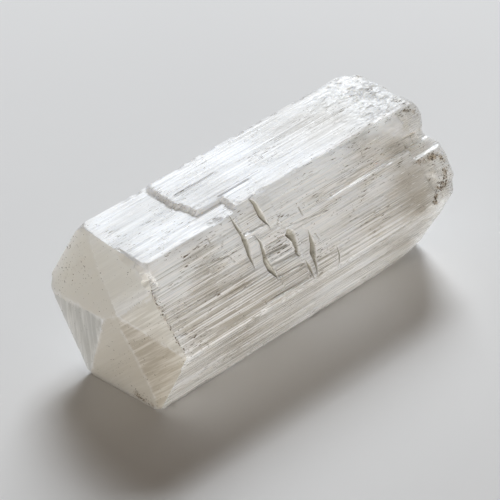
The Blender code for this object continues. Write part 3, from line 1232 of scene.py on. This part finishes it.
def weathered(nodes, masks, made, color):
    """The colour under crumbs with painted shade between them, dirt, white lips that are partly
    painted highlight, cracks and dark lines that are partly painted shade, and specks, in that order.
    """
    # Darker borders between the crumbs are painted shade in their crevices.
    crevice_shade = nodes.span(nodes.cells("DISTANCE_TO_EDGE"), 0, 0.1, 0.35, 0)
    crumbs = nodes.mix(crevice_shade, CRUMB, CRUMB_CREVICE_SHADE)
    color = nodes.mix(nodes.times(masks.worn, 0.75), color, crumbs)
    film = nodes.span(nodes.noise((0.8, 1.2, 1.2), detail=3), 0.42, 0.6)
    browned = nodes.times(film, nodes.span(masks.dirt, 0.25, 1, 0, 0.75))
    color = nodes.mix(browned, color, DIRT)
    # White lips and lines: painted highlight on lips, ridges and step edges, partly the crystal's own
    # white lines and crumbs.
    color = nodes.mix(nodes.times(masks.rim, 0.8), color, WHITE_AND_HIGHLIGHT)
    # Crack walls: painted shade in the recess, partly the crack's own olive grey.
    color = nodes.mix(nodes.times(masks.crack, 0.85), color, CRACK_WALL_SHADE)
    # Dark marks: painted shade below steps, in crack bottoms and before the layer's edge, partly the
    # crystal's own dark lines.
    color = nodes.mix(nodes.times(masks.mark, 0.7), color, DARK_MARK_AND_SHADE)
    return nodes.mix(made.specks, color, SPECK)


def inner_glow(nodes, masks, made):
    """How much light spreads inside the crystal, where nothing hides its inside."""
    covers = (
        (masks.crack, 0.8),
        (made.white_lines, 0.5),
        (masks.rim, 0.3),
        (made.bright, 0.4),
        (made.shaded, 0.5),
    )
    hidden = made.specks
    for cover, strength in covers:
        hidden = nodes.most(hidden, nodes.times(cover, strength))
    return nodes.math("SUBTRACT", 0.7, hidden, clamp=True)


def gloss(nodes, masks, made):
    """Roughness: lowest on the pointed end, and higher on the top than on the other sides."""
    rough = nodes.span(made.fine, 0.3, 0.7, 0.16, 0.36)
    rough = nodes.plus(rough, nodes.times(made.top, 0.16))
    return nodes.times(rough, nodes.span(masks.tip, 0, 1, 1, 0.3))


def fine_relief(nodes, masks, made):
    """A bump for what is finer than the mesh: threads, crumbs and pits."""
    relief = nodes.plus(nodes.times(made.threads, 0.6), nodes.times(made.fine, 0.4))
    relief = nodes.times(relief, made.side)
    relief = nodes.times(relief, nodes.span(made.lined, 0, 0.35, 0.2, 1))
    crumbs = nodes.times(nodes.times(nodes.cells("F1"), -2.2), masks.worn)
    relief = nodes.plus(relief, crumbs)
    pits = nodes.span(made.grain, 0.6, 0.68, 0, -0.5)
    pits = nodes.times(pits, nodes.span(masks.worn, 0, 1, 0.15, 1))
    bump = nodes.add("ShaderNodeBump")
    bump.inputs["Strength"].default_value = BUMP_STRENGTH
    bump.inputs["Distance"].default_value = BUMP_HEIGHT * MM
    nodes.feed(bump.inputs["Height"], nodes.plus(relief, pits))
    return bump.outputs["Normal"]


def selenite_material():
    """Clear gypsum with silky white veils and streaks along the stick."""
    material = bpy.data.materials.new("selenite_fine")
    material.use_nodes = True
    nodes = Nodes(material)
    masks = read_masks(nodes)
    made = make_patterns(nodes, masks)
    color = nodes.mix(masks.tip, side_color(nodes, made), tip_color(nodes, masks, made))
    inputs = nodes.shader.inputs
    nodes.feed(inputs["Base Color"], weathered(nodes, masks, made, color))
    nodes.feed(inputs["Transmission Weight"], clearness(nodes, masks, made))
    nodes.feed(inputs["Subsurface Weight"], inner_glow(nodes, masks, made))
    nodes.feed(inputs["Roughness"], gloss(nodes, masks, made))
    nodes.feed(inputs["Normal"], fine_relief(nodes, masks, made))
    inputs["IOR"].default_value = 1.52
    inputs["Subsurface Radius"].default_value = (1, 0.95, 0.86)
    inputs["Subsurface Scale"].default_value = 0.01
    return material


def floor_material():
    """Matt off-white, very faintly mottled."""
    material = bpy.data.materials.new("pale_floor")
    material.use_nodes = True
    nodes = Nodes(material)
    mottle = nodes.noise((0.01, 0.01, 0.01), detail=2)
    tone = nodes.mix(mottle, (0.76, 0.76, 0.76), (0.8, 0.8, 0.8))
    nodes.feed(nodes.shader.inputs["Base Color"], tone)
    nodes.shader.inputs["Roughness"].default_value = 0.9
    nodes.shader.inputs["Specular IOR Level"].default_value = 0.2
    return material


# ---- floor, light and camera

FLOOR_REACH = 3  # metres from the crystal to the floor's edges
FLOOR_DROP = 0.00005  # metres by which the floor lies below the crystal

# Each light's place, aim and size in metres, its power in watts and its colour.
WINDOW = ((0.694, 0.582, 0.875), (0, 0, 0.01), (0.54, 0.54), 16.5, (0.89, 0.93, 0.97))
CARD = ((-0.45, -0.7, 0.04), (0, 0, 0.02), (0.9, 0.07), 4.9, (1, 0.97, 0.92))
WORLD_COLOR = (1, 0.83, 0.67)
WORLD_STRENGTH = 0.125

# The camera stands on the tip's near side and looks down, through a long lens.
CAMERA_TURN = (-43.26, 35.57, -2.32)  # azimuth, elevation and roll, in degrees
CAMERA_AIM = (36.37, 0.09, 15)  # millimetres, with x from the tip
CAMERA_DISTANCE = 0.6
CAMERA_LENS = 221.08
CAMERA_SENSOR = 36


def make_floor():
    """A plain floor that the crystal lies on."""
    mesh = bpy.data.meshes.new("floor")
    side = FLOOR_REACH
    corners = [(-side, -side, 0), (side, -side, 0), (side, side, 0), (-side, side, 0)]
    mesh.from_pydata(corners, [], [(0, 1, 2, 3)])
    floor = bpy.data.objects.new("floor", mesh)
    mesh.materials.append(floor_material())
    floor.location.z = -FLOOR_DROP
    bpy.context.scene.collection.objects.link(floor)


def make_light(name, place, aim, size, power, color):
    """A soft rectangular light at a place, which shines on its aim."""
    data = bpy.data.lights.new(name, "AREA")
    data.shape = "RECTANGLE"
    data.size, data.size_y = size
    data.energy = power
    data.color = color
    light = bpy.data.objects.new(name, data)
    light.location = place
    light.rotation_euler = (Vector(aim) - Vector(place)).to_track_quat("-Z", "Y").to_euler()
    bpy.context.scene.collection.objects.link(light)


def make_world():
    """The faint light that comes from all round."""
    world = bpy.data.worlds.new("studio")
    world.use_nodes = True
    background = world.node_tree.nodes["Background"]
    background.inputs["Color"].default_value = (*WORLD_COLOR, 1)
    background.inputs["Strength"].default_value = WORLD_STRENGTH
    bpy.context.scene.world = world


def make_camera():
    """The photographer's place."""
    azimuth, elevation, roll = (math.radians(angle) for angle in CAMERA_TURN)
    target = Vector((LOW[0] + CAMERA_AIM[0], *CAMERA_AIM[1:])) * MM
    back = Vector((
        math.sin(azimuth) * math.cos(elevation),
        -math.cos(azimuth) * math.cos(elevation),
        math.sin(elevation),
    ))
    level = Vector((math.cos(azimuth), math.sin(azimuth), 0))
    upright = back.cross(level)
    right = level * math.cos(roll) + upright * math.sin(roll)
    up = upright * math.cos(roll) - level * math.sin(roll)
    data = bpy.data.cameras.new("camera")
    data.sensor_width = CAMERA_SENSOR
    data.lens = CAMERA_LENS
    data.clip_start = 0.01
    camera = bpy.data.objects.new("camera", data)
    turn = Matrix((right, up, back)).transposed().to_4x4()
    camera.matrix_world = Matrix.Translation(target + back * CAMERA_DISTANCE) @ turn
    bpy.context.scene.collection.objects.link(camera)
    bpy.context.scene.camera = camera


def main():
    """Build the crystal, and put it on the floor, in the light and before the camera."""
    bpy.context.scene.view_settings.view_transform = "Standard"
    crystal = make_crystal()
    crystal.data.materials.append(selenite_material())
    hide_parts(NODE)
    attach(crystal, "root")
    make_floor()
    make_light("window", *WINDOW)
    make_light("card", *CARD)
    make_world()
    make_camera()


main()
